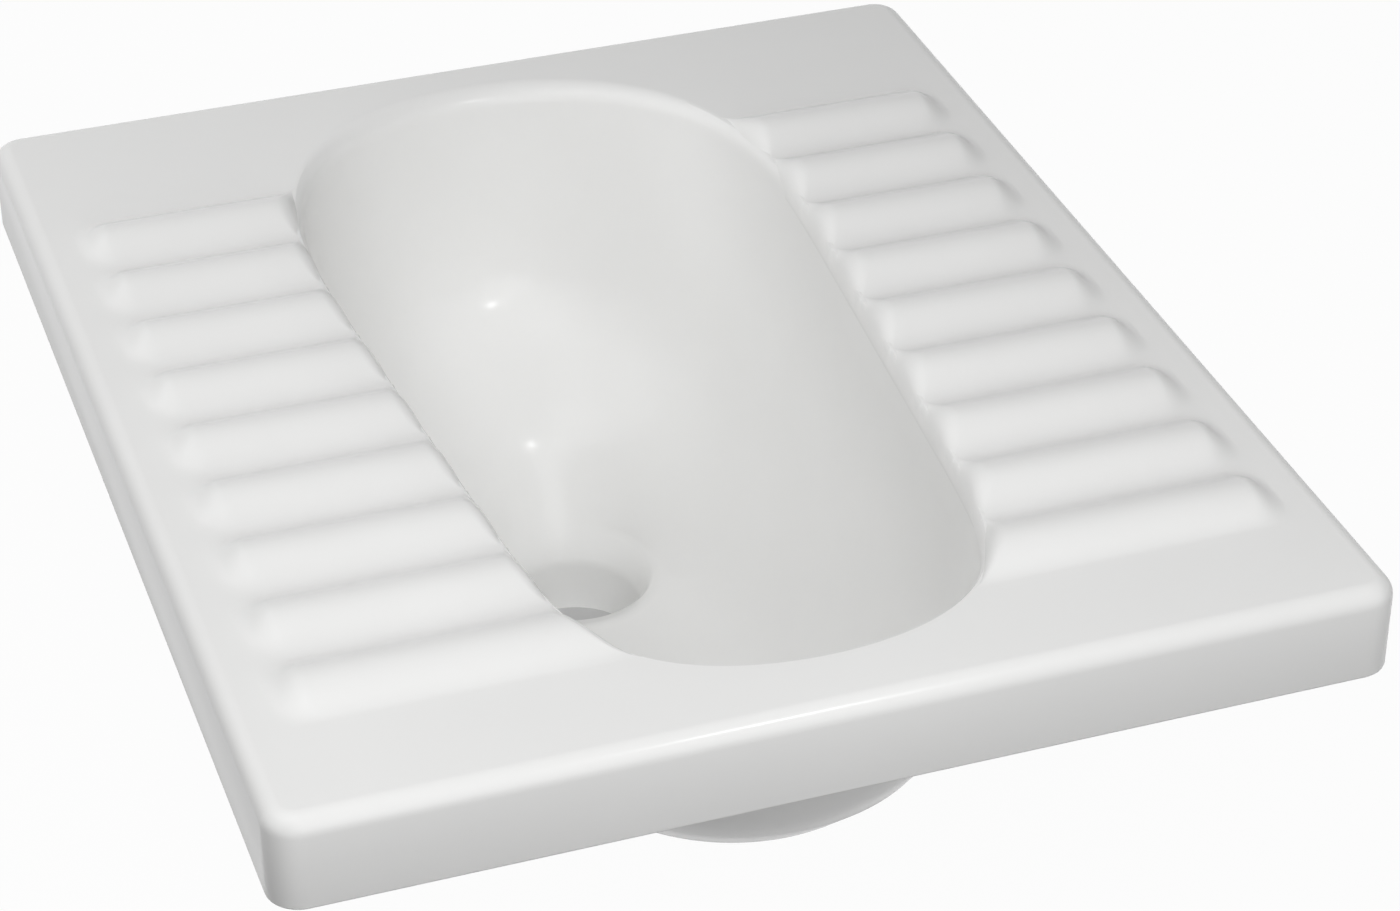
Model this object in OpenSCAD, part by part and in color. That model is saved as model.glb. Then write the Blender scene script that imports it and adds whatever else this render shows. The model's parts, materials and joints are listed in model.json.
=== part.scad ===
// Squat toilet pan: a ribbed foot plate around a deep egg-shaped bowl with an outlet below.
// Lengths are in millimetres. The origin is the middle of the plate, level with the foot of
// its skirt, which is where the pan sits on the floor. +Z is up, and +Y runs from the narrow
// end of the bowl to the wide end, under which the outlet lies.

/* [Foot plate] */
// Width of the plate, from side to side
plate_w = 500; // [480:5:580]
// Length of the plate, from the narrow end to the wide end
plate_l = 600; // [590:5:700]
// Height of the skirt, from its foot to the top of the deck
skirt_h = 45; // [38:1:70]
// Thickness of the skirt's wall
skirt_t = 11; // [8:0.5:16]
// Thickness of the deck
deck_t = 12; // [10:0.5:16]
// Radius of the plate's corners in plan
corner_r = 15; // [13:1:40]
// Radius of the rounded edge round the top
edge_r = 9; // [4:0.5:12]

/* [Bowl opening] */
// Length of the opening, tip to tip, at the outside of its rolled rim
bowl_l = 539; // [500:1:550]
// Width of the opening at the middle of its length
bowl_w = 238; // [220:1:270]
// How much wider each side is at the wide end than at the middle
bowl_flare = 16; // [0:1:24]
// Distance of the opening's middle from the plate's middle, towards the wide end
bowl_shift = 5; // [-6:0.5:6]
// Bluntness of the narrow end's outline, where 2 is an ellipse
narrow_bluntness = 6; // [2:0.5:8]
// Bluntness of the wide end's outline, where 2 is an ellipse
wide_bluntness = 4; // [2:0.5:8]
// Width of the rolled rim along the sides and round the narrow end
rim_w = 3.5; // [3:0.5:12]
// Width of the rolled rim at the wide end
wide_rim_w = 12; // [6:0.5:20]
// Depth over which the rim rolls down to the bowl's wall
rim_drop = 9; // [5:0.5:14]

/* [Bowl] */
// Depth of the bowl's throat below the deck
throat_depth = 204; // [170:1:230]
// Thickness of the bowl's wall
bowl_t = 10; // [7:0.5:11]
// Distance of the outlet's axis from the plate's middle, towards the wide end
outlet_y = 105; // [80:1:120]
// How upright the narrow end's wall stands above the floor
narrow_steepness = 3.8; // [3:0.1:6]
// How upright the wide end's wall stands above the floor, the shelf apart
wide_steepness = 3; // [2:0.1:5]
// How upright the side walls stand above the floor
side_steepness = 2.7; // [1.6:0.1:4]
// Share of a wall's run that leans evenly, from rim to throat
wall_lean = 0.05; // [0.02:0.01:0.12]
// The same share at the wide end
wide_lean = 0.06; // [0.02:0.01:0.12]
// Share of the wide end's run that lies on the sloping shelf above the outlet
shelf_share = 0.54; // [0:0.02:0.6]
// Share of the depth at which the shelf starts
shelf_start = 0.52; // [0.4:0.01:0.6]
// Share of the depth at which the shelf ends and falls away to the outlet
shelf_end = 0.83; // [0.75:0.01:1]

/* [Outlet] */
// Radius of the outlet's bore
outlet_bore_r = 35; // [30:0.5:42]
// Thickness of the outlet's wall
outlet_t = 10; // [8:0.5:12]
// Width of the lip over which the floor rolls into the bore on its narrow side
lip_w = 6; // [4:0.5:12]
// Width of the same lip on its wide side, where it is the foot of a slope
wide_lip_w = 11; // [6:0.5:12]
// Height of the lip, and of the thick neck round it, from the throat to the spigot
neck_h = 20; // [13:0.5:24]
// Length of the spigot below the neck
spigot_l = 26; // [24:1:80]
// Radius of the fillet between the neck and the spigot
spigot_fillet_r = 8; // [6:0.5:12]

/* [Treads] */
// Number of ribs on each side
ribs = 9; // [5:1:10]
// Distance from one rib to the next
rib_pitch = 48.4; // [36:0.2:50]
// Height of a rib's crest above the deck
rib_h = 8; // [3:0.5:12]
// Fullness of a rib's section, where 1 is a parabola and less is fuller
rib_fullness = 0.85; // [0.6:0.05:1]
// Length over which a rib's outer end rounds down to the deck
outer_end_l = 9; // [6:1:24]
// Length over which a rib's inner end rounds down to the rim
inner_end_l = 3; // [3:1:16]
// How far a rib's outer end stands out past the creases beside it
outer_nose_l = 5; // [0:1:20]
// How far a rib's inner end stands out past the creases beside it
inner_nose_l = 1; // [0:1:12]
// Distance from the plate's narrow end to the first rib
tread_start = 60; // [56:1:80]
// Width of the flat margin between the treads and the plate's side
tread_margin = 24; // [16:1:40]
// Width of the flat strip between the treads and the bowl's rim
tread_gap = 1; // [1:0.5:8]
// Depth of the bed in the deck that a tread pad fills
bed_depth = 3; // [2:0.5:5]

/* [Webs] */
// Number of webs under each side of the deck
webs = 3; // [2:1:4]
// Distance from one web to the next
web_pitch = 130; // [80:5:140]
// Thickness of a web
web_t = 10; // [6:0.5:14]
// Space between a web's end and the bowl's shell
web_gap = 3; // [2:0.5:8]

/* [Hidden] */

$fn = 96;
china = "#f3f4f3";
overcut = 1;          // how far a cut runs past the face that it opens
least_corner_r = 1;   // radius left in the skirt's inside corners where its wall is thick
stations = 64;        // points round each ring of the bowl
roll_steps = 5;       // rings in the rolled rim, and in the lip of the throat
wall_rings = 15;      // rings between the rim and the throat
ring_bias = 1.7;      // above 1, rings crowd towards the floor
lip_start = 20;       // angle at which the floor joins the lip's roll
lip_hollow = 1.3;     // above 1, the wide side of the lip meets the bore without a bend
neck_blend = 4;       // above 1, the wall thickens towards the neck only near the throat
floor_blend = 2;      // above 1, the floor thickens only near the throat
rib_steps = 8;        // facets across a rib
end_steps = 5;        // facets along a rib's rounded end
pad_border = 1;       // flat edge of a tread pad round its ribs

half_w = plate_w / 2;
half_l = plate_l / 2;
under_deck = skirt_h - deck_t;
inside_corner_r = max(least_corner_r, corner_r - skirt_t);
shell_out = bowl_t - rim_w;
neck_r = outlet_bore_r + outlet_t + spigot_fillet_r;
neck_foot = skirt_h - throat_depth - neck_h;
spigot_foot = neck_foot - spigot_l;
wall_depth = throat_depth - rim_drop;

narrow_tip = bowl_shift - bowl_l / 2;
wide_tip = bowl_shift + bowl_l / 2;

// ---- outline of the bowl -------------------------------------------------------------

function mix(a, b, s) = a + (b - a) * s;

// Half width of an egg-shaped ring at v, which runs from -1 at its narrow tip to 1 at its
// wide tip. A ring is [narrow tip, wide tip, half width, flare, bluntness, bluntness].
function ring_half(ring, v) =
    let (bluntness = v < 0 ? ring[4] : ring[5])
    (ring[2] + ring[3] * v) * sqrt(max(0, 1 - pow(abs(v), bluntness)));

function ring_points(ring, z) = [
    for (i = [0 : stations - 1])
        let (a = 360 * i / stations)
        [
            sign(cos(a)) * ring_half(ring, sin(a)),
            (ring[0] + ring[1]) / 2 + (ring[1] - ring[0]) / 2 * sin(a),
            z
        ]
];

// The ring at a share s of the rim's width, from the opening's outline to the wall.
function rim_ring(s) = [
    narrow_tip + rim_w * s,
    wide_tip - wide_rim_w * s,
    bowl_w / 2 - rim_w * s,
    bowl_flare,
    narrow_bluntness,
    wide_bluntness
];

// Half width of the opening at a place along the plate.
function opening_half(y) = ring_half(rim_ring(0), (y - bowl_shift) / (bowl_l / 2));

// Share of the lip's height that has fallen away at an angle along its roll.
function fall(a) = (cos(lip_start) - cos(a)) / cos(lip_start);

// The round ring of the throat at an angle along the lip's roll, which ends at the bore.
function throat_ring(a) =
    let (
        narrow_out = lip_w * (1 - sin(a)) / (1 - sin(lip_start)),
        wide_out = wide_lip_w * pow(1 - fall(a), lip_hollow)
    )
    [
        outlet_y - outlet_bore_r - narrow_out,
        outlet_y + outlet_bore_r + wide_out,
        outlet_bore_r + (narrow_out + wide_out) / 2,
        0,
        2,
        2
    ];

// Share of a wall's run from rim to throat that it has covered at a share s of its depth.
function run(s, steepness) = wall_lean * s + (1 - wall_lean) * pow(s, steepness);

// The share of the shelf's own run, eased at both ends.
function shelf(s) =
    let (t = min(1, max(0, (s - shelf_start) / (shelf_end - shelf_start))))
    t * t * (3 - 2 * t);

function wide_run(s) =
    wide_lean * s
    + shelf_share * shelf(s)
    + (1 - wide_lean - shelf_share) * pow(s, wide_steepness);

// The ring of the wall at a share s of its depth, drawn out at [narrow end, wide end, sides].
function wall_ring(s, out) = let (from = rim_ring(1), to = throat_ring(lip_start)) [
    mix(from[0], to[0], run(s, narrow_steepness)) - out[0],
    mix(from[1], to[1], wide_run(s)) + out[1],
    mix(from[2], to[2], run(s, side_steepness)) + out[2],
    bowl_flare * (1 - s),
    mix(narrow_bluntness, 2, s),
    mix(wide_bluntness, 2, s)
];

// How far the shell's outer ring stands out from the inner one, which grows to the neck's.
function thickness(s) = [
    for (lip = [lip_w, wide_lip_w, (lip_w + wide_lip_w) / 2])
        mix(bowl_t, neck_r - outlet_bore_r - lip, pow(s, neck_blend))
];

function circle_points(r, z) = ring_points([outlet_y - r, outlet_y + r, r, 0, 2, 2], z);

wall_shares = [for (k = [1 : wall_rings]) 1 - pow(1 - k / wall_rings, ring_bias)];

// ---- tread pads ----------------------------------------------------------------------

tread_y = tread_start - half_l;
tread_x = half_w - tread_margin;

// Height of a rib's section as a share of its crest's, from its share c of a circle's.
function bulge(c) = pow(max(0, c), 2 * rib_fullness);

// Each row is [place along the plate, height there], from crease to crest to crease.
tread_rows = [
    for (r = [0 : ribs - 1], k = [(r == 0 ? 0 : 1) : rib_steps])
        let (a = 180 * k / rib_steps - 90)
        [tread_y + rib_pitch * (r + 0.5 + sin(a) / 2), rib_h * bulge(cos(a))]
];

// How far along its rounded end a column lies, as an angle; each end starts at the edge.
tread_angles = [for (k = [0 : end_steps]) 90 * k / end_steps];

function tread_inner(y) = opening_half(y) + tread_gap;

// Distance of a rib's end from the pad's edge, where the creases lie back from the crest.
function nose(row, nose_l) = pad_border + nose_l * pow(1 - row[1] / rib_h, 2);

// One row of a pad, from the edge beside the bowl to the edge beside the plate's margin.
function tread_line(row) = [
    [tread_inner(row[0]), row[0], skirt_h],
    for (a = tread_angles)
        [
            tread_inner(row[0]) + nose(row, inner_nose_l) + inner_end_l * (1 - cos(a)),
            row[0],
            skirt_h + row[1] * bulge(sin(a))
        ],
    for (k = [end_steps : -1 : 0])
        let (a = tread_angles[k])
        [
            tread_x - nose(row, outer_nose_l) - outer_end_l * (1 - cos(a)),
            row[0],
            skirt_h + row[1] * bulge(sin(a))
        ],
    [tread_x, row[0], skirt_h]
];

tread_outline = concat(
    [for (row = tread_rows) [tread_inner(row[0]), row[0]]],
    [[tread_x, tread_rows[len(tread_rows) - 1][0]], [tread_x, tread_y]]
);

// ---- sections ------------------------------------------------------------------------

module rounded_plan(w, l, r) {
    for (x = [-1, 1], y = [-1, 1])
        translate([x * (w / 2 - r), y * (l / 2 - r)]) circle(r);
    square([w - 2 * r, l], center = true);
    square([w, l - 2 * r], center = true);
}

// A slab with its top edge rounded all round.
module rounded_slab(w, l, h, plan_r, top_r) {
    bar_z = h - top_r;
    linear_extrude(bar_z) rounded_plan(w, l, plan_r);
    linear_extrude(h) rounded_plan(w - 2 * top_r, l - 2 * top_r, plan_r - top_r);
    for (s = [-1, 1]) {
        translate([s * (w / 2 - top_r), 0, bar_z])
            rotate([90, 0, 0]) cylinder(r = top_r, h = l - 2 * plan_r, center = true);
        translate([0, s * (l / 2 - top_r), bar_z])
            rotate([0, 90, 0]) cylinder(r = top_r, h = w - 2 * plan_r, center = true);
    }
    for (x = [-1, 1], y = [-1, 1])
        translate([x * (w / 2 - plan_r), y * (l / 2 - plan_r), bar_z])
            rotate_extrude() translate([plan_r - top_r, 0]) intersection() {
                circle(top_r);
                translate([0, -top_r]) square([top_r, 2 * top_r]);
            }
}

// A closed solid between rings of points, the last of which joins the first again.
module ring_solid(rings) {
    n = len(rings[0]);
    m = len(rings);
    points = [for (ring = rings, p = ring) p];
    faces = [
        for (k = [0 : m - 1], i = [0 : n - 1])
            let (
                j = (i + 1) % n,
                near = k * n,
                far = ((k + 1) % m) * n
            )
            for (face = [[near + i, near + j, far + i], [near + j, far + j, far + i]]) face
    ];
    polyhedron(points, faces, convexity = 10);
}

// A pad with a flat bottom under a grid of points. Its first and last rows lie level.
module pad_solid(grid, bottom_z) {
    rows = len(grid);
    cols = len(grid[0]);
    last = cols - 1;
    top = [for (row = grid, p = row) p];
    base = [for (row = grid, c = [0, last]) [row[c][0], row[c][1], bottom_z]];
    b = len(top);
    end_b = b + 2 * (rows - 1);
    end_t = (rows - 1) * cols;
    crown = [
        for (r = [0 : rows - 2], c = [0 : cols - 2])
            let (i = r * cols + c)
            for (face = [[i, i + cols, i + 1], [i + 1, i + cols, i + cols + 1]]) face
    ];
    sides = [
        for (r = [0 : rows - 2])
            let (t = r * cols, u = t + cols, v = b + 2 * r)
            for (
                face = [
                    [t, v, u], [u, v, v + 2],
                    [t + last, u + last, v + 1], [u + last, v + 3, v + 1],
                    [v, v + 1, v + 3], [v, v + 3, v + 2]
                ]
            )
            face
    ];
    ends = [
        for (c = [0 : cols - 2])
            for (face = [[b, c, c + 1], [end_b, end_t + c + 1, end_t + c]]) face
    ];
    corners = [[b, last, b + 1], [end_b, end_b + 1, end_t + last]];
    polyhedron(concat(top, base), concat(crown, sides, ends, corners), convexity = 10);
}

// ---- the pan's pieces ----------------------------------------------------------------

// The deck with its margins, rounded edge and skirt, open underneath.
module foot_plate() color(china) difference() {
    rounded_slab(plate_w, plate_l, skirt_h, corner_r, edge_r);
    translate([0, 0, -overcut]) linear_extrude(under_deck + overcut)
        rounded_plan(plate_w - 2 * skirt_t, plate_l - 2 * skirt_t, inside_corner_r);
    translate([0, 0, -overcut]) linear_extrude(skirt_h + 2 * overcut)
        polygon([for (p = ring_points(rim_ring(0), 0)) [p[0], p[1]]]);
    for (side = [0, 1]) mirror([side, 0, 0])
        translate([0, 0, skirt_h - bed_depth]) linear_extrude(bed_depth + overcut)
            polygon(tread_outline);
}

// One pad of raised ribs, bedded in the deck beside the bowl.
module tread_pad() color(china)
    pad_solid([for (row = tread_rows) tread_line(row)], skirt_h - bed_depth);

module left_treads() mirror([1, 0, 0]) tread_pad();

module right_treads() tread_pad();

// The shell: rolled rim, walls, floor, and the lip of the throat down to the neck's foot.
module bowl() color(china) ring_solid(concat(
    [
        for (k = [0 : roll_steps])
            let (a = 90 * k / roll_steps)
            ring_points(rim_ring(sin(a)), skirt_h - rim_drop * (1 - cos(a)))
    ],
    [
        for (s = wall_shares)
            ring_points(wall_ring(s, [0, 0, 0]), skirt_h - rim_drop - wall_depth * s)
    ],
    [
        for (k = [1 : roll_steps])
            let (a = mix(lip_start, 90, k / roll_steps))
            ring_points(throat_ring(a), skirt_h - throat_depth - neck_h * fall(a))
    ],
    [circle_points(neck_r, neck_foot)],
    [
        for (k = [wall_rings - 1 : -1 : 0])
            let (s = wall_shares[k])
            ring_points(
                wall_ring(s, thickness(s)),
                skirt_h - rim_drop - wall_depth * s - neck_h * pow(s, floor_blend)
            )
    ],
    [ring_points(rim_ring(0), under_deck)]
));

// The spigot that enters the drain pipe's socket, with a fillet under the bowl's neck.
module outlet_spigot() color(china) translate([0, outlet_y, spigot_foot]) {
    outer_r = outlet_bore_r + outlet_t;
    difference() {
        union() {
            cylinder(r = outer_r, h = spigot_l);
            translate([0, 0, spigot_l - spigot_fillet_r]) cylinder(r = neck_r, h = spigot_fillet_r);
        }
        translate([0, 0, spigot_l - spigot_fillet_r]) rotate_extrude()
            translate([neck_r, 0]) circle(spigot_fillet_r);
        translate([0, 0, -overcut]) cylinder(r = outlet_bore_r, h = spigot_l + 2 * overcut);
    }
}

// Upright webs that carry a tread's load from the deck to the floor.
module side_webs() color(china)
    for (k = [0 : webs - 1]) {
        near = web_pitch * (k - (webs - 1) / 2) - web_t / 2;
        shell = max(opening_half(near), opening_half(near + web_t)) + shell_out;
        inner = shell + web_gap;
        outer = half_w - skirt_t;
        translate([inner, near, 0]) cube([outer - inner, web_t, under_deck]);
    }

module left_webs() mirror([1, 0, 0]) side_webs();

module right_webs() side_webs();

foot_plate();
left_treads();
right_treads();
bowl();
outlet_spigot();
left_webs();
right_webs();
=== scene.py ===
import json
import math
from collections import namedtuple

import bmesh
import bpy
from bpy.props import FloatProperty, FloatVectorProperty, IntProperty, PointerProperty
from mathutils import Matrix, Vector


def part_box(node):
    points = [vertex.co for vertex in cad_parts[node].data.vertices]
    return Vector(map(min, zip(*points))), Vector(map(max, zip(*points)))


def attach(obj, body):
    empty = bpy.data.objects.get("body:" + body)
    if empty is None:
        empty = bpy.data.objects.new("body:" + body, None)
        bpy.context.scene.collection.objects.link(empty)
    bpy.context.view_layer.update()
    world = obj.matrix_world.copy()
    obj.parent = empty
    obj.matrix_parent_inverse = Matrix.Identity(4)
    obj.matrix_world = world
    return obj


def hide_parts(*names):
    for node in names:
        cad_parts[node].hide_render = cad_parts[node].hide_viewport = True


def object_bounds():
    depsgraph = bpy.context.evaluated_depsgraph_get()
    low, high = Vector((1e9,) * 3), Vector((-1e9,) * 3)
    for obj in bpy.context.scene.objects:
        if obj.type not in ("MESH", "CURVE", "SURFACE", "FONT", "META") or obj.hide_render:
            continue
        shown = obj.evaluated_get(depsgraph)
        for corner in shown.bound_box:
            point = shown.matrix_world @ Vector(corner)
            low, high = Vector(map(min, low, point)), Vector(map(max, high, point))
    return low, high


bl_info = {
    "name": "Squat Toilet Pan",
    "version": (1, 0, 0),
    "blender": (4, 5, 0),
    "location": "3D View > Sidebar > Pan",
    "description": "Glazed china pieces of a floor-level squatting pan, dressed over its CAD frame",
    "category": "Add Mesh",
}

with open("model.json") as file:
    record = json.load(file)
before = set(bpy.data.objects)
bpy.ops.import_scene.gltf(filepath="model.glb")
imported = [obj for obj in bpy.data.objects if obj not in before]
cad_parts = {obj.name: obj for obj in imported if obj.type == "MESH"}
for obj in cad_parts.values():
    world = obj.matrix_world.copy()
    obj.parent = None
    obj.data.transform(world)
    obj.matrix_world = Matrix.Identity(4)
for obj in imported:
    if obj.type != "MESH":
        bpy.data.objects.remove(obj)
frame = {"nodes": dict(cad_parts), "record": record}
CAD_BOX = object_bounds()

MM = 0.001
BODY = "root"
UP = Vector((0, 0, 1))
QUARTER_TURN = math.radians(90)

# The plate, the spigot, the deck's height, and the outlet's middle and radius, as the frame
# has them.
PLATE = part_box("foot_plate")
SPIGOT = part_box("outlet_spigot")
DECK_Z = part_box("bowl")[1][2]
OUTLET = Vector(((SPIGOT[0][0] + SPIGOT[1][0]) / 2, (SPIGOT[0][1] + SPIGOT[1][1]) / 2, 0))
BORE = next(mount for mount in frame["record"]["mounts"] if mount["name"] == "outlet_bore")
BORE_R = BORE["dims"]["r_mm"] * MM

# The bowl's rolled rim along its sides, how far the rim drops to the wall, and the wall's depth
# below it.
RIM_W = 3.5 * MM
RIM_DROP = 9 * MM
WALL_DEPTH = 195 * MM

# The bed in the deck that a tread pad fills: its gap to the bowl, its floor, its outer side and
# its two ends. Then the deck's underside.
BED_GAP = 1 * MM
BED_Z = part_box("right_treads")[0][2]
BED_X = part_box("right_treads")[1][0]
BED_Y = (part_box("right_treads")[0][1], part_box("right_treads")[1][1])
UNDER_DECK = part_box("right_webs")[1][2]

# Tips of the opening, and its outline in the frame and as it is dressed: half its width at the
# middle, how much that grows towards the wide tip, and how blunt its two ends are, where 2 is
# an ellipse.
Outline = namedtuple("Outline", "half_w flare narrow_bluntness wide_bluntness")
TIPS = (-264.5 * MM, 274.5 * MM)
FRAME_OUTLINE = Outline(119 * MM, 16 * MM, 6, 4)
OUTLINE = Outline(118.25 * MM, 21 * MM, 9, 4)

# Facets across a rib, and along its inner end, its middle and its outer end.
RIB_STEPS = 16
INNER_STEPS = 9
MIDDLE_STEPS = 3
OUTER_STEPS = 9

# How far a pad's tucked edge leans away from the bowl's wall, as a share of its depth.
TUCK_LEAN = 1 / 8

# How often the bowl's rings, and the plate's ring round them, are halved.
RING_HALVINGS = 2

# How far two triangles may bend where they are joined in a quad, the bend from which an edge is
# sharp, and how far a corner may face from the next piece's surface and still be run on into it.
QUAD_ANGLE = math.radians(30)
SHARP_ANGLE = math.radians(40)
RUN_ON_COS = math.cos(math.radians(50))

# A face whose normal dips lower than this looks at the floor.
FACES_FLOOR = -0.5

# Slack when places are told apart, when vertices are merged, when slivers are dissolved, and
# when an edge is taken as level.
NEAR = 0.05 * MM
MERGE = 0.01 * MM
SLIVER = 0.005 * MM
LEVEL = 0.002 * MM

# Digits, in metres, that tell new vertices apart, and in millimetres that tell rings apart.
PLACE_DIGITS = 6
RING_DIGITS = 2

# How near the opening's tips, as a share of its half length, two outlines are still compared.
TIP_SLACK = 0.0001

# Both colour inputs of a Mix node, and its colour output.
MIX_A = 6
MIX_B = 7
MIX_COLOUR = 2

# The glaze: width of its cloudy tones, width and rise of its slow waves and of its orange peel,
# and the share by which its roughness wanders.
CLOUD = 90 * MM
WAVE = 28 * MM
WAVE_RISE = 0.06 * MM
PEEL = 2.5 * MM
PEEL_RISE = 0.004 * MM
GLOSS_SPREAD = 0.1

# The bare body: width and rise of its grain, and width of its stains.
GRAIN = 1.6 * MM
GRAIN_RISE = 0.05 * MM
STAIN = 70 * MM

# Index of refraction that glaze and fired china both have about.
CHINA_IOR = 1.5

# The floor: half its side, the share of it that is its own light, and its colours to the eye,
# to bounced light, and to bounced light in the outlet, which reaches past the bore by a margin.
FLOOR_HALF = 6.0
FLOOR_GLOW = 0.965
FLOOR_SEEN = "#cccccc"
FLOOR_BOUNCED = "#5a5a5a"
OUTLET_BOUNCED = "#f4f4f4"
OUTLET_MARGIN = 2 * MM

# Lamps round the pan, all aimed at its middle: place and side in metres, power in watts, and
# whether the glaze mirrors them.
Lamp = namedtuple("Lamp", "name place side power mirrored")
LAMPS = (
    Lamp("near_box", (0.0, -1.3, 1.1), 1.0, 6.5, False),
    Lamp("low_near_box", (0.0, -1.5, 0.45), 0.8, 6.3, False),
    Lamp("low_left_box", (-1.5, -0.2, 0.4), 0.8, 1.6, False),
    Lamp("far_left_box", (-1.0, 0.9, 1.0), 1.0, 8.6, False),
    Lamp("top_box", (-0.5, -0.5, 1.6), 1.0, 8.8, False),
    Lamp("key_lamp", (0.50, -1.18, 1.53), 0.14, 2.2, True),
)

# The camera's sensor in millimetres, and how far it sees in metres.
SENSOR_W = 36
CLIP_END = 100


# ---- small helpers ----------------------------------------------------------------------


def linear(code):
    """An sRGB hex colour as linear RGBA."""
    channels = [int(code[i : i + 2], 16) / 255 for i in (1, 3, 5)]
    return tuple(
        c / 12.92 if c <= 0.04045 else ((c + 0.055) / 1.055) ** 2.4 for c in channels
    ) + (1.0,)


def add_node(tree, kind, links=(), **settings):
    """Adds a node. A setting named after one of its inputs sets that socket, any other an attribute."""
    made = tree.nodes.new(kind)
    for name, value in settings.items():
        if hasattr(made, name):
            setattr(made, name, value)
        else:
            made.inputs[name.replace("_", " ")].default_value = value
    for source, socket in links:
        tree.links.new(source, made.inputs[socket])
    return made


def empty_tree(owner):
    """The node tree of a material or a world, with nothing in it."""
    owner.use_nodes = True
    owner.node_tree.nodes.clear()
    return owner.node_tree


def add_object(name, data):
    """Adds an object to the scene, at the origin."""
    made = bpy.data.objects.new(name, data)
    bpy.context.scene.collection.objects.link(made)
    return made


def mesh_of(bm, name):
    """Turns a bmesh into a mesh, and frees it."""
    mesh = bpy.data.meshes.new(name)
    bm.to_mesh(mesh)
    bm.free()
    return mesh


def merged_copy(node):
    """A bmesh of a CAD node with its loose triangles merged."""
    bm = bmesh.new()
    bm.from_mesh(frame["nodes"][node].data)
    bmesh.ops.remove_doubles(bm, verts=bm.verts, dist=MERGE)
    bmesh.ops.dissolve_degenerate(bm, edges=bm.edges, dist=SLIVER)
    return bm


def join_flat(bm):
    """Joins a bmesh's triangles in pairs where they make a quad."""
    bmesh.ops.join_triangles(
        bm,
        faces=bm.faces,
        angle_face_threshold=QUAD_ANGLE,
        angle_shape_threshold=math.pi,
    )


def join_rings(bm):
    """Turns a bmesh of level rings, each with as many stations, into quads between them."""
    # The bowl's foot has two rings at one height, the bore's and the neck's.
    rings = {}
    for vert in bm.verts:
        on_neck = vert.co.z < SPIGOT[1][2] + NEAR and (vert.co - OUTLET).xy.length > BORE_R + MM
        rings.setdefault((round(vert.co.z / MM, RING_DIGITS), on_neck), []).append(vert)
    station = {}
    for key, ring in rings.items():
        low = min(vert.co.y for vert in ring)
        high = max(vert.co.y for vert in ring)
        for vert in ring:
            turn = math.asin(max(-1, min(1, (2 * vert.co.y - low - high) / (high - low))))
            turn = math.pi - turn if vert.co.x < 0 else turn
            station[vert] = key, round(turn * len(ring) / math.tau) % len(ring)
    slanted = [
        edge
        for edge in bm.edges
        if all(station[edge.verts[0]][k] != station[edge.verts[1]][k] for k in (0, 1))
    ]
    bmesh.ops.dissolve_edges(bm, edges=slanted, use_verts=False)


def opening_half(y, outline, tip_slack=0.0):
    """Half the opening's width at a place along the pan."""
    along = (2 * y - TIPS[0] - TIPS[1]) / (TIPS[1] - TIPS[0])
    along = max(tip_slack - 1, min(1 - tip_slack, along))
    bluntness = outline.narrow_bluntness if along < 0 else outline.wide_bluntness
    return (outline.half_w + outline.flare * along) * math.sqrt(1 - abs(along) ** bluntness)


def widen(place, share=1.0):
    """Moves a place from the frame's outline of the bowl to the dressed one, by a share of the way."""
    dressed = opening_half(place.y, OUTLINE, TIP_SLACK)
    framed = opening_half(place.y, FRAME_OUTLINE, TIP_SLACK)
    place.x *= (dressed / framed) ** share


def halve_rings(bm, on_ring):
    """Halves the level edges between vertices for which on_ring holds, along a smooth curve."""
    level = [
        edge
        for edge in bm.edges
        if all(on_ring(vert.co) for vert in edge.verts)
        and abs(edge.verts[0].co.z - edge.verts[1].co.z) < LEVEL
    ]
    beside = {}
    for edge in level:
        for vert in edge.verts:
            beside.setdefault(vert, []).append(edge.other_vert(vert))
    # A vertex's neighbours along its ring are the two nearest ones at its level.
    for vert, others in beside.items():
        others.sort(key=lambda other: (other.co - vert.co).length)
        del others[2:]
    # An edge's new middle lies on the cubic through its two ends and their next neighbours.
    curve = {}
    ringed = []
    for edge in level:
        a, b = edge.verts
        if b in beside[a] and a in beside[b] and len(beside[a]) == len(beside[b]) == 2:
            before = next(vert for vert in beside[a] if vert != b)
            after = next(vert for vert in beside[b] if vert != a)
            middle = ((a.co + b.co) / 2).to_tuple(PLACE_DIGITS)
            curve[middle] = (9 * (a.co + b.co) - before.co - after.co) / 16
            ringed.append(edge)
    known = set(bm.verts)
    bmesh.ops.subdivide_edges(bm, edges=ringed, cuts=1, use_grid_fill=True)
    for vert in bm.verts:
        if vert not in known:
            vert.co = curve.get(vert.co.to_tuple(PLACE_DIGITS), vert.co)


def refill_level(bm, z):
    """Lays fresh faces in the level parts of a bmesh at a height, after their edges have moved."""
    flat = [face for face in bm.faces if all(abs(vert.co.z - z) < NEAR for vert in face.verts)]
    known = set(flat)
    rim = [edge for edge in bm.edges if sum(face in known for face in edge.link_faces) == 1]
    bmesh.ops.delete(bm, geom=flat, context="FACES_KEEP_BOUNDARY")
    bmesh.ops.triangle_fill(bm, edges=rim, use_beauty=True, use_dissolve=False, normal=UP)


def split_finish(bm, is_bare):
    """Gives the faces for which is_bare holds the second material."""
    for face in bm.faces:
        face.material_index = int(is_bare(face.calc_center_median(), face.normal))


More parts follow.
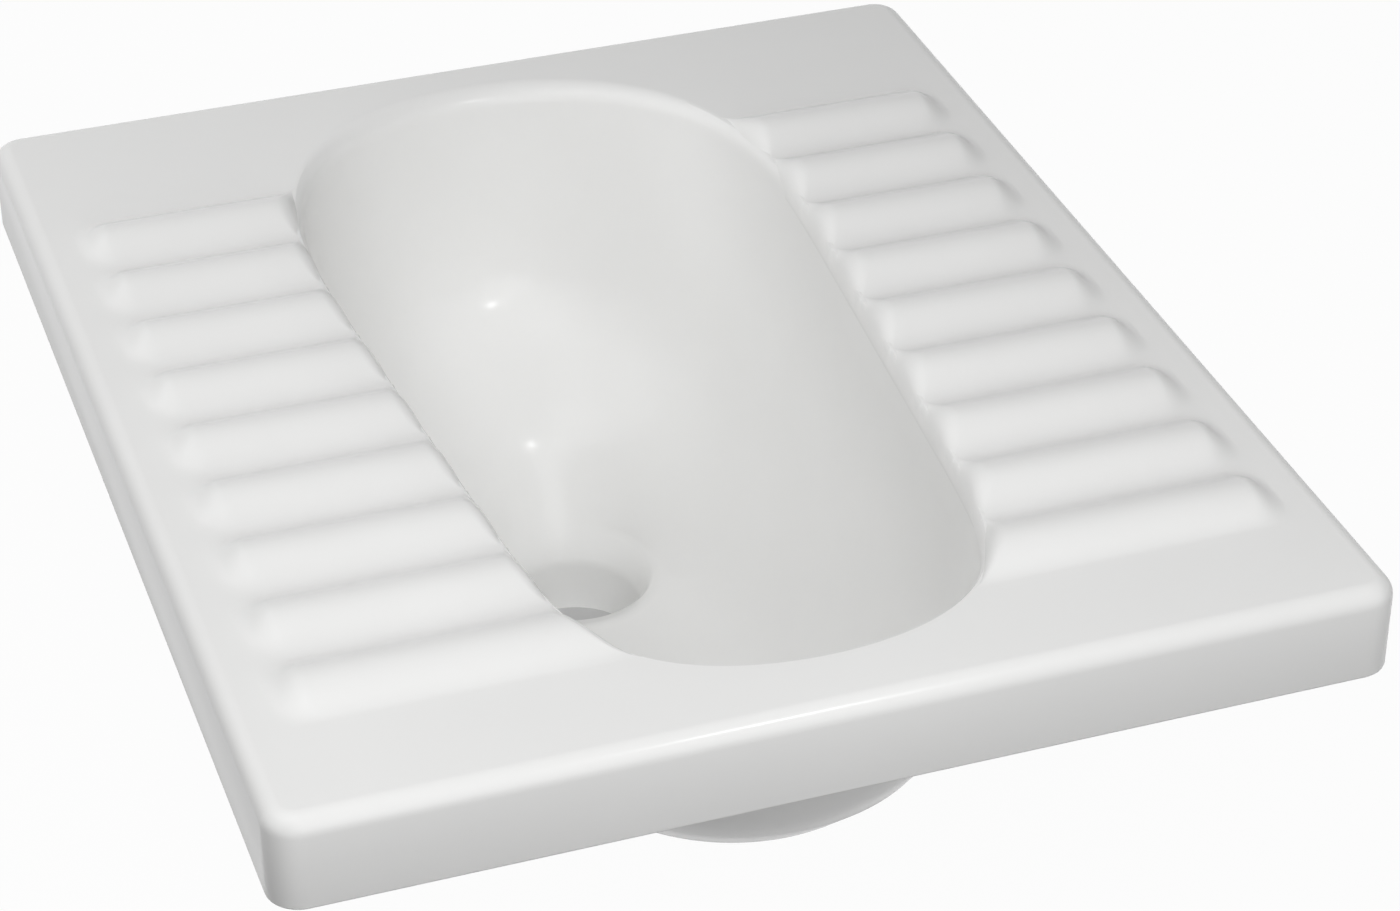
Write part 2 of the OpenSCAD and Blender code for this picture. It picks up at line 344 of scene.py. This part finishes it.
def run_surface_on(mesh, run_on):
    """Turns a mesh's shading at its edges to the way that run_on says the next piece faces there.

    Where no piece follows, run_on says None. A corner that faces well away from the next
    piece's surface belongs to another side of the edge, and is left as it is.
    """
    normals = [corner.vector.copy() for corner in mesh.corner_normals]
    for index, loop in enumerate(mesh.loops):
        facing = run_on(mesh.vertices[loop.vertex_index].co)
        if facing is not None and normals[index].dot(facing) > RUN_ON_COS:
            normals[index] = facing
    mesh.normals_split_custom_set(normals)


def finish_piece(bm, name, node, materials, run_on=None):
    """Turns a bmesh into a smooth-shaded piece that stands for a CAD node."""
    for face in bm.faces:
        face.smooth = True
    mesh = mesh_of(bm, name)
    mesh.set_sharp_from_angle(angle=SHARP_ANGLE)
    for material in materials:
        mesh.materials.append(material)
    piece = add_object(name, mesh)
    if run_on is None:
        weighted = piece.modifiers.new("flat_faces_stay_flat", "WEIGHTED_NORMAL")
        weighted.keep_sharp = True
    else:
        run_surface_on(mesh, run_on)
    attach(piece, BODY)
    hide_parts(node)


# ---- finishes ---------------------------------------------------------------------------


def vitreous_china_glaze(settings):
    """White vitreous china under a clear glaze, sprayed on and fired: soft white, gently glossy."""
    name = "glazed_vitreous_china"
    if name in bpy.data.materials:
        return bpy.data.materials[name]
    material = bpy.data.materials.new(name)
    tree = empty_tree(material)
    place = add_node(tree, "ShaderNodeTexCoord").outputs["Object"]
    # Cloudy shifts of tone, a hand's breadth across, where the glaze lies thicker.
    cloud = add_node(
        tree, "ShaderNodeTexNoise", [(place, "Vector")], Scale=1 / CLOUD, Detail=3.0, Roughness=0.5
    )
    tone = add_node(tree, "ShaderNodeMix", [(cloud.outputs["Fac"], "Factor")], data_type="RGBA")
    tone.inputs[MIX_A].default_value = settings.thick_glaze
    tone.inputs[MIX_B].default_value = settings.thin_glaze
    # Slow waves in the glaze, and the finer orange peel that gloss on china has.
    wave = add_node(tree, "ShaderNodeTexNoise", [(place, "Vector")], Scale=1 / WAVE, Detail=1.0)
    peel = add_node(tree, "ShaderNodeTexNoise", [(place, "Vector")], Scale=1 / PEEL, Detail=1.0)
    waved = add_node(
        tree, "ShaderNodeBump", [(wave.outputs["Fac"], "Height")], Strength=1.0, Distance=WAVE_RISE
    )
    peeled = add_node(
        tree,
        "ShaderNodeBump",
        [(peel.outputs["Fac"], "Height"), (waved.outputs["Normal"], "Normal")],
        Strength=1.0,
        Distance=PEEL_RISE,
    )
    gloss = add_node(
        tree,
        "ShaderNodeMapRange",
        [(cloud.outputs["Fac"], "Value")],
        To_Min=settings.roughness * (1 - GLOSS_SPREAD),
        To_Max=settings.roughness * (1 + GLOSS_SPREAD),
    )
    shader = add_node(
        tree,
        "ShaderNodeBsdfPrincipled",
        [
            (tone.outputs[MIX_COLOUR], "Base Color"),
            (gloss.outputs["Result"], "Roughness"),
            (peeled.outputs["Normal"], "Normal"),
        ],
        IOR=CHINA_IOR,
    )
    add_node(tree, "ShaderNodeOutputMaterial", [(shader.outputs["BSDF"], "Surface")])
    return material


def bare_china_body(settings):
    """Fired china that was wiped free of glaze: off-white, matt and finely sandy."""
    name = "bare_fired_china"
    if name in bpy.data.materials:
        return bpy.data.materials[name]
    material = bpy.data.materials.new(name)
    tree = empty_tree(material)
    place = add_node(tree, "ShaderNodeTexCoord").outputs["Object"]
    # Sandy grain, drawn coarser than the real one so that it shows, and slow stains under it.
    grain = add_node(tree, "ShaderNodeTexNoise", [(place, "Vector")], Scale=1 / GRAIN, Detail=2.0)
    stain = add_node(tree, "ShaderNodeTexNoise", [(place, "Vector")], Scale=1 / STAIN, Detail=2.0)
    both = add_node(
        tree,
        "ShaderNodeMath",
        [(grain.outputs["Fac"], 0), (stain.outputs["Fac"], 1)],
        operation="MULTIPLY",
    )
    tone = add_node(tree, "ShaderNodeMix", [(both.outputs[0], "Factor")], data_type="RGBA")
    tone.inputs[MIX_A].default_value = settings.dark_body
    tone.inputs[MIX_B].default_value = settings.light_body
    rough = add_node(
        tree, "ShaderNodeBump", [(grain.outputs["Fac"], "Height")], Strength=1.0, Distance=GRAIN_RISE
    )
    shader = add_node(
        tree,
        "ShaderNodeBsdfPrincipled",
        [(tone.outputs[MIX_COLOUR], "Base Color"), (rough.outputs["Normal"], "Normal")],
        Roughness=settings.bare_roughness,
        IOR=CHINA_IOR,
    )
    add_node(tree, "ShaderNodeOutputMaterial", [(shader.outputs["BSDF"], "Surface")])
    return material


def both_finishes(context):
    """The glaze, and the body that shows where no glaze lies."""
    settings = context.scene.pan_glaze
    return vitreous_china_glaze(settings), bare_china_body(settings)


# ---- what a user can change -------------------------------------------------------------


class GlazeSettings(bpy.types.PropertyGroup):
    """The china's glaze, and its body where no glaze lies."""

    thick_glaze: FloatVectorProperty(
        name="Thick glaze",
        description="Colour where the glaze lies thickest",
        default=linear("#f2f2f1"),
        size=4,
        subtype="COLOR",
    )
    thin_glaze: FloatVectorProperty(
        name="Thin glaze",
        description="Colour where the glaze lies thinnest",
        default=linear("#f7f7f6"),
        size=4,
        subtype="COLOR",
    )
    roughness: FloatProperty(
        name="Roughness",
        description="How far the glaze spreads a highlight",
        default=0.2,
        min=0.05,
        max=0.25,
    )
    dark_body: FloatVectorProperty(
        name="Dark body",
        description="Colour in the dips of the bare body's grain",
        default=linear("#e2e1dd"),
        size=4,
        subtype="COLOR",
    )
    light_body: FloatVectorProperty(
        name="Light body",
        description="Colour on the rises of the bare body's grain",
        default=linear("#f0efec"),
        size=4,
        subtype="COLOR",
    )
    bare_roughness: FloatProperty(
        name="Bare roughness",
        description="How far the bare body spreads a highlight",
        default=0.8,
        min=0.3,
        max=1.0,
    )


class ShapeSettings(bpy.types.PropertyGroup):
    """Forms that are finer on the dressed pieces than in the frame."""

    foot_ease: FloatProperty(
        name="Foot ease",
        description="Radius eased on the skirt's foot",
        default=1.5 * MM,
        unit="LENGTH",
    )
    glaze_line: FloatProperty(
        name="Glaze line",
        description="Height of the skirt's foot wiped bare",
        default=1.0 * MM,
        unit="LENGTH",
    )
    ribs: IntProperty(name="Ribs", description="Ribs on each side", default=9, min=1)
    rib_height: FloatProperty(
        name="Rib height",
        description="Height of a rib's crest above the deck",
        default=8 * MM,
        unit="LENGTH",
    )
    rib_fullness: FloatProperty(
        name="Rib fullness",
        description="1 makes a rib's section a wave, and less fills it out",
        default=0.85,
    )
    tread_margin: FloatProperty(
        name="Tread margin",
        description="From the plate's side to the ribs' ends",
        default=20 * MM,
        unit="LENGTH",
    )
    outer_end: FloatProperty(
        name="Outer end",
        description="Length over which a rib runs down to the deck",
        default=16 * MM,
        unit="LENGTH",
    )
    outer_nose: FloatProperty(
        name="Outer nose",
        description="How far a rib's end stands out past the creases",
        default=4 * MM,
        unit="LENGTH",
    )
    inner_end: FloatProperty(
        name="Inner end",
        description="Length over which a rib rounds down to the rim",
        default=8.5 * MM,
        unit="LENGTH",
    )
    tuck: FloatProperty(
        name="Tuck",
        description="How far a pad's edge runs on into the bowl's wall",
        default=4 * MM,
        unit="LENGTH",
    )
    skin: FloatProperty(
        name="Skin",
        description="How far a rib's end lies over the rim",
        default=0.15 * MM,
        unit="LENGTH",
    )


class StageSettings(bpy.types.PropertyGroup):
    """Light and camera."""

    azimuth: FloatProperty(
        name="Azimuth",
        description="Camera's turn from the narrow end",
        default=math.radians(-19.201),
        subtype="ANGLE",
    )
    elevation: FloatProperty(
        name="Elevation",
        description="Camera's height above the deck",
        default=math.radians(33.253),
        subtype="ANGLE",
    )
    distance: FloatProperty(
        name="Distance",
        description="From the camera to the place it looks at",
        default=1.7069,
        unit="LENGTH",
    )
    target: FloatVectorProperty(
        name="Target",
        description="The place the camera looks at",
        default=(-0.00193, -0.10357, 0.045),
        subtype="XYZ",
    )
    lens: FloatProperty(name="Lens", description="Focal length in millimetres", default=97.5)
    lamp_power: FloatProperty(
        name="Lamps",
        description="Factor on the power of every lamp",
        default=1.0,
    )
    room: FloatProperty(
        name="Room light",
        description="Strength of the white surroundings",
        default=0.052,
    )


# ---- pieces -----------------------------------------------------------------------------


def at_deck_edge(place):
    """Up, where a place is level with the deck and the next piece runs on flat."""
    return UP if place.z > DECK_Z - NEAR else None


def fit_opening(bm, shape):
    """Smooths the foot plate's opening, and moves it and the beds' outer sides to their dressed places."""

    def on_rim(place):
        return abs(abs(place.x) - opening_half(place.y, FRAME_OUTLINE)) < BED_GAP / 2

    def beside_rim(place):
        within = abs(place.x) < opening_half(place.y, FRAME_OUTLINE) + 2 * BED_GAP
        return within and TIPS[0] < place.y < TIPS[1]

    for _ in range(RING_HALVINGS):
        halve_rings(bm, on_rim)
    for vert in bm.verts:
        if beside_rim(vert.co):
            widen(vert.co)
        elif abs(abs(vert.co.x) - BED_X) < NEAR:
            vert.co.x = math.copysign(PLATE[1][0] - shape.tread_margin, vert.co.x)
    for level in (DECK_Z, BED_Z, UNDER_DECK):
        refill_level(bm, level)
    bmesh.ops.recalc_face_normals(bm, faces=bm.faces)


def ease_foot(bm, shape):
    """Rounds both edges of the skirt's foot."""
    edges = [
        edge
        for edge in bm.edges
        if all(abs(vert.co.z - PLATE[0][2]) < NEAR for vert in edge.verts)
        and edge.calc_face_angle(0) > SHARP_ANGLE
    ]
    bmesh.ops.bevel(
        bm,
        geom=edges,
        offset=shape.foot_ease,
        offset_type="OFFSET",
        segments=3,
        profile=0.5,
        affect="EDGES",
        clamp_overlap=True,
        material=-1,
    )
    bm.normal_update()


class PAN_OT_foot_plate(bpy.types.Operator):
    """Glaze the foot plate, ease the edges of its skirt's foot and leave its underside bare"""

    bl_idname = "pan.foot_plate"
    bl_label = "Foot plate"

    def execute(self, context):
        shape = context.scene.pan_shape
        outside_x = PLATE[1][0] - NEAR - shape.foot_ease
        outside_y = PLATE[1][1] - NEAR - shape.foot_ease

        def is_bare(middle, normal):
            outside = abs(middle.x) > outside_x or abs(middle.y) > outside_y
            on_foot = middle.z < PLATE[0][2] + shape.glaze_line
            below_deck = middle.z < DECK_Z - RIM_DROP and not outside
            return on_foot or normal.z < FACES_FLOOR or (below_deck and normal.dot(middle) < 0)

        bm = merged_copy("foot_plate")
        join_flat(bm)
        fit_opening(bm, shape)
        ease_foot(bm, shape)
        split_finish(bm, is_bare)
        finish_piece(bm, "foot_plate_glazed", "foot_plate", both_finishes(context), at_deck_edge)
        return {"FINISHED"}


def rib_rise(row, shape):
    """How high the ribs stand above the deck at a row of a tread pad's grid."""
    across = math.pi * ((row % RIB_STEPS) / RIB_STEPS - 0.5)
    return shape.rib_height * max(0, math.cos(across)) ** (2 * shape.rib_fullness)


def rib_place(column, columns, wall, rise, shape):
    """How far from the pan's middle, and how high, a column of a tread pad's grid lies.

    It starts at the pad's own edge, which is tucked into the rim, and goes up over the rim,
    along the rib's crest and down to the pad's outer side.
    """
    share = rise / shape.rib_height
    outer_x = PLATE[1][0] - shape.tread_margin
    end_x = outer_x - shape.outer_nose * (1 - share) ** 2 - shape.outer_end
    reach = RIM_W + shape.inner_end * math.sqrt(share)
    inner_x = wall + reach
    if column == 0:
        return wall + shape.tuck * TUCK_LEAN, DECK_Z - RIM_DROP - shape.tuck
    if column <= INNER_STEPS + 1:
        turn = QUARTER_TURN * (column - 1) / INNER_STEPS
        x = wall + reach * (1 - math.cos(turn)) - shape.skin
        return x, DECK_Z - RIM_DROP + (RIM_DROP + rise) * math.sin(turn)
    if column <= INNER_STEPS + MIDDLE_STEPS:
        x = inner_x + (end_x - inner_x) * (column - INNER_STEPS - 1) / MIDDLE_STEPS
        return x, DECK_Z + rise
    if column < columns:
        turn = QUARTER_TURN * (columns - column) / (OUTER_STEPS + 1)
        x = end_x + shape.outer_end * (1 - turn / QUARTER_TURN)
        return x, DECK_Z + rise * math.sin(turn) ** 2
    return outer_x, DECK_Z


def tread_pad(side, shape):
    """A pad of ribs on one side, -1 or 1, whose inner ends round down into the bowl's wall."""
    rows = shape.ribs * RIB_STEPS
    columns = INNER_STEPS + MIDDLE_STEPS + OUTER_STEPS + 2
    bm = bmesh.new()
    bmesh.ops.create_grid(bm, x_segments=columns, y_segments=rows, size=0.5)
    under = list(bm.verts)
    bmesh.ops.extrude_face_region(bm, geom=bm.faces[:])
    for vert in bm.verts:
        column = round((vert.co.x + 0.5) * columns)
        row = round((vert.co.y + 0.5) * rows)
        y = BED_Y[0] + (BED_Y[1] - BED_Y[0]) * row / rows
        wall = opening_half(y, OUTLINE) - RIM_W
        x, z = rib_place(column, columns, wall, rib_rise(row, shape), shape)
        vert.co = (side * x, y, z)
    for vert in under:
        vert.co.z = BED_Z
        vert.co.x = side * max(abs(vert.co.x), opening_half(vert.co.y, OUTLINE) + BED_GAP)
    bmesh.ops.recalc_face_normals(bm, faces=bm.faces)
    return bm


class PAN_OT_treads(bpy.types.Operator):
    """Glaze both pads of treads, with the ribs' ends flowing into the deck and the bowl"""

    bl_idname = "pan.treads"
    bl_label = "Treads"

    def execute(self, context):
        shape = context.scene.pan_shape
        glaze, _ = both_finishes(context)
        outer_x = PLATE[1][0] - shape.tread_margin

        def run_on(place):
            inside = BED_Y[0] + NEAR < place.y < BED_Y[1] - NEAR and abs(place.x) < outer_x - NEAR
            return None if inside else at_deck_edge(place)

        for node, side in (("left_treads", -1), ("right_treads", 1)):
            bm = tread_pad(side, shape)
            finish_piece(bm, node + "_glazed", node, (glaze,), run_on)
        return {"FINISHED"}


class PAN_OT_bowl(bpy.types.Operator):
    """Glaze the bowl inside and out, and run its rim into the deck and its lip into the bore"""

    bl_idname = "pan.bowl"
    bl_label = "Bowl"

    def execute(self, context):
        glaze, _ = both_finishes(context)

        def run_on(place):
            inwards = Vector((OUTLET.x - place.x, OUTLET.y - place.y, 0))
            if place.z < SPIGOT[1][2] + NEAR and inwards.length < BORE_R + NEAR:
                return inwards.normalized()
            return at_deck_edge(place)

        bm = merged_copy("bowl")
        join_rings(bm)
        for _ in range(RING_HALVINGS):
            halve_rings(bm, lambda place: True)
        # The dressed outline fades into the frame's from the rim down to the throat.
        for vert in bm.verts:
            depth = (DECK_Z - RIM_DROP - vert.co.z) / WALL_DEPTH
            widen(vert.co, 1 - max(0, min(1, depth)))
        finish_piece(bm, "bowl_glazed", "bowl", (glaze,), run_on)
        return {"FINISHED"}


class PAN_OT_outlet_spigot(bpy.types.Operator):
    """Glaze the spigot's bore and leave its outside bare, where it enters the pipe's socket"""

    bl_idname = "pan.outlet_spigot"
    bl_label = "Outlet spigot"

    def execute(self, context):
        def is_bare(middle, normal):
            return (middle - OUTLET).xy.length > BORE_R + NEAR

        bm = merged_copy("outlet_spigot")
        join_flat(bm)
        split_finish(bm, is_bare)
        finish_piece(bm, "outlet_spigot_glazed", "outlet_spigot", both_finishes(context))
        return {"FINISHED"}


class PAN_OT_webs(bpy.types.Operator):
    """Dress the bare webs under both sides of the deck"""

    bl_idname = "pan.webs"
    bl_label = "Webs"

    def execute(self, context):
        _, bare = both_finishes(context)
        for side in ("left", "right"):
            node = side + "_webs"
            finish_piece(merged_copy(node), node + "_cast", node, (bare,))
        return {"FINISHED"}


# ---- stage ------------------------------------------------------------------------------


def studio_floor(floor_z):
    """White to the eye and to the glaze by its own light, and dark to light that bounces off it.

    Inside the outlet it has no light of its own, so that the eye sees shade through the bore.
    It is pale to bounced light there, so that the bore's wall is lit.
    """
    material = bpy.data.materials.new("studio_floor")
    tree = empty_tree(material)
    path = add_node(tree, "ShaderNodeLightPath")
    seen = add_node(
        tree,
        "ShaderNodeMath",
        [(path.outputs["Is Camera Ray"], 0), (path.outputs["Is Glossy Ray"], 1)],
        operation="MAXIMUM",
    )
    place = add_node(tree, "ShaderNodeTexCoord").outputs["Object"]
    from_outlet = add_node(tree, "ShaderNodeVectorMath", [(place, 0)], operation="DISTANCE")
    from_outlet.inputs[1].default_value = (OUTLET.x, OUTLET.y, floor_z)
    outside = add_node(
        tree, "ShaderNodeMath", [(from_outlet.outputs["Value"], 0)], operation="GREATER_THAN"
    )
    outside.inputs[1].default_value = BORE_R + OUTLET_MARGIN
    bounced = add_node(tree, "ShaderNodeMix", [(outside.outputs[0], "Factor")], data_type="RGBA")
    bounced.inputs[MIX_A].default_value = linear(OUTLET_BOUNCED)
    bounced.inputs[MIX_B].default_value = linear(FLOOR_BOUNCED)
    tint = add_node(
        tree,
        "ShaderNodeMix",
        [(seen.outputs[0], "Factor"), (bounced.outputs[MIX_COLOUR], MIX_A)],
        data_type="RGBA",
    )
    tint.inputs[MIX_B].default_value = linear(FLOOR_SEEN)
    paint = add_node(tree, "ShaderNodeBsdfDiffuse", [(tint.outputs[MIX_COLOUR], "Color")])
    glow = add_node(tree, "ShaderNodeEmission", Color=(1, 1, 1, 1), Strength=1.0)
    glows = add_node(
        tree, "ShaderNodeMath", [(seen.outputs[0], 0), (outside.outputs[0], 1)], operation="MULTIPLY"
    )
    share = add_node(tree, "ShaderNodeMath", [(glows.outputs[0], 0)], operation="MULTIPLY")
    share.inputs[1].default_value = FLOOR_GLOW
    mixed = add_node(
        tree,
        "ShaderNodeMixShader",
        [(share.outputs[0], 0), (paint.outputs[0], 1), (glow.outputs[0], 2)],
    )
    add_node(tree, "ShaderNodeOutputMaterial", [(mixed.outputs[0], "Surface")])
    return material


def lay_floor():
    """A level floor under the spigot's foot."""
    floor_z = CAD_BOX[0][2]
    bm = bmesh.new()
    bmesh.ops.create_grid(bm, x_segments=1, y_segments=1, size=FLOOR_HALF)
    bmesh.ops.translate(bm, verts=bm.verts, vec=(0, 0, floor_z))
    mesh = mesh_of(bm, "floor")
    mesh.materials.append(studio_floor(floor_z))
    floor = add_object("floor", mesh)


def surround(scene, strength):
    """A room that is white to the eye and in reflections, and dimmer as a light."""
    scene.world = bpy.data.worlds.new("white_room")
    tree = empty_tree(scene.world)
    path = add_node(tree, "ShaderNodeLightPath")
    eye = add_node(
        tree,
        "ShaderNodeMath",
        [(path.outputs["Is Camera Ray"], 0), (path.outputs["Is Glossy Ray"], 1)],
        operation="MAXIMUM",
    )
    seen = add_node(
        tree,
        "ShaderNodeMath",
        [(eye.outputs[0], 0), (path.outputs["Is Transmission Ray"], 1)],
        operation="MAXIMUM",
    )
    lit = add_node(tree, "ShaderNodeBackground", Color=(1, 1, 1, 1), Strength=strength)
    white = add_node(tree, "ShaderNodeBackground", Color=(1, 1, 1, 1), Strength=1.0)
    both = add_node(
        tree,
        "ShaderNodeMixShader",
        [(seen.outputs[0], 0), (lit.outputs[0], 1), (white.outputs[0], 2)],
    )
    add_node(tree, "ShaderNodeOutputWorld", [(both.outputs[0], "Surface")])


def point_back(made, away):
    """Turns a lamp or a camera so that its back looks a given way."""
    made.rotation_mode = "QUATERNION"
    made.rotation_quaternion = away.to_track_quat("Z", "Y")


def hang_lamp(lamp, factor):
    """A square area lamp, aimed at the pan's middle."""
    light = bpy.data.lights.new(lamp.name, "AREA")
    light.shape = "SQUARE"
    light.size = lamp.side
    light.energy = lamp.power * factor
    hung = add_object(lamp.name, light)
    hung.location = lamp.place
    hung.visible_glossy = lamp.mirrored
    point_back(hung, Vector(lamp.place))


def place_camera(scene, settings):
    """The photograph's camera."""
    back = Vector(
        (
            math.sin(settings.azimuth) * math.cos(settings.elevation),
            -math.cos(settings.azimuth) * math.cos(settings.elevation),
            math.sin(settings.elevation),
        )
    )
    lens = bpy.data.cameras.new("photo_camera")
    lens.sensor_width = SENSOR_W
    lens.lens = settings.lens
    lens.clip_end = CLIP_END
    camera = add_object("photo_camera", lens)
    camera.location = Vector(settings.target) + back * settings.distance
    point_back(camera, back)
    scene.camera = camera


class PAN_OT_stage(bpy.types.Operator):
    """Set up the floor, the soft light and the camera"""

    bl_idname = "pan.stage"
    bl_label = "Stage"

    def execute(self, context):
        settings = context.scene.pan_stage
        lay_floor()
        surround(context.scene, settings.room)
        for lamp in LAMPS:
            hang_lamp(lamp, settings.lamp_power)
        place_camera(context.scene, settings)
        context.scene.view_settings.view_transform = "Standard"
        return {"FINISHED"}


class PAN_PT_pan(bpy.types.Panel):
    """Lists the pan's pieces and its stage"""

    bl_idname = "PAN_PT_pan"
    bl_label = "Squat toilet pan"
    bl_space_type = "VIEW_3D"
    bl_region_type = "UI"
    bl_category = "Pan"

    def draw(self, context):
        column = self.layout.column()
        for operator in OPERATORS:
            column.operator(operator.bl_idname)


OPERATORS = (
    PAN_OT_foot_plate,
    PAN_OT_treads,
    PAN_OT_bowl,
    PAN_OT_outlet_spigot,
    PAN_OT_webs,
    PAN_OT_stage,
)
CLASSES = (GlazeSettings, ShapeSettings, StageSettings) + OPERATORS + (PAN_PT_pan,)


def register():
    for cls in CLASSES:
        bpy.utils.register_class(cls)
    bpy.types.Scene.pan_glaze = PointerProperty(type=GlazeSettings)
    bpy.types.Scene.pan_shape = PointerProperty(type=ShapeSettings)
    bpy.types.Scene.pan_stage = PointerProperty(type=StageSettings)


def unregister():
    del bpy.types.Scene.pan_stage
    del bpy.types.Scene.pan_shape
    del bpy.types.Scene.pan_glaze
    for cls in reversed(CLASSES):
        bpy.utils.unregister_class(cls)


def main():
    register()
    bpy.ops.pan.foot_plate()
    bpy.ops.pan.treads()
    bpy.ops.pan.bowl()
    bpy.ops.pan.outlet_spigot()
    bpy.ops.pan.webs()
    bpy.ops.pan.stage()


if __name__ == "__main__":
    main()
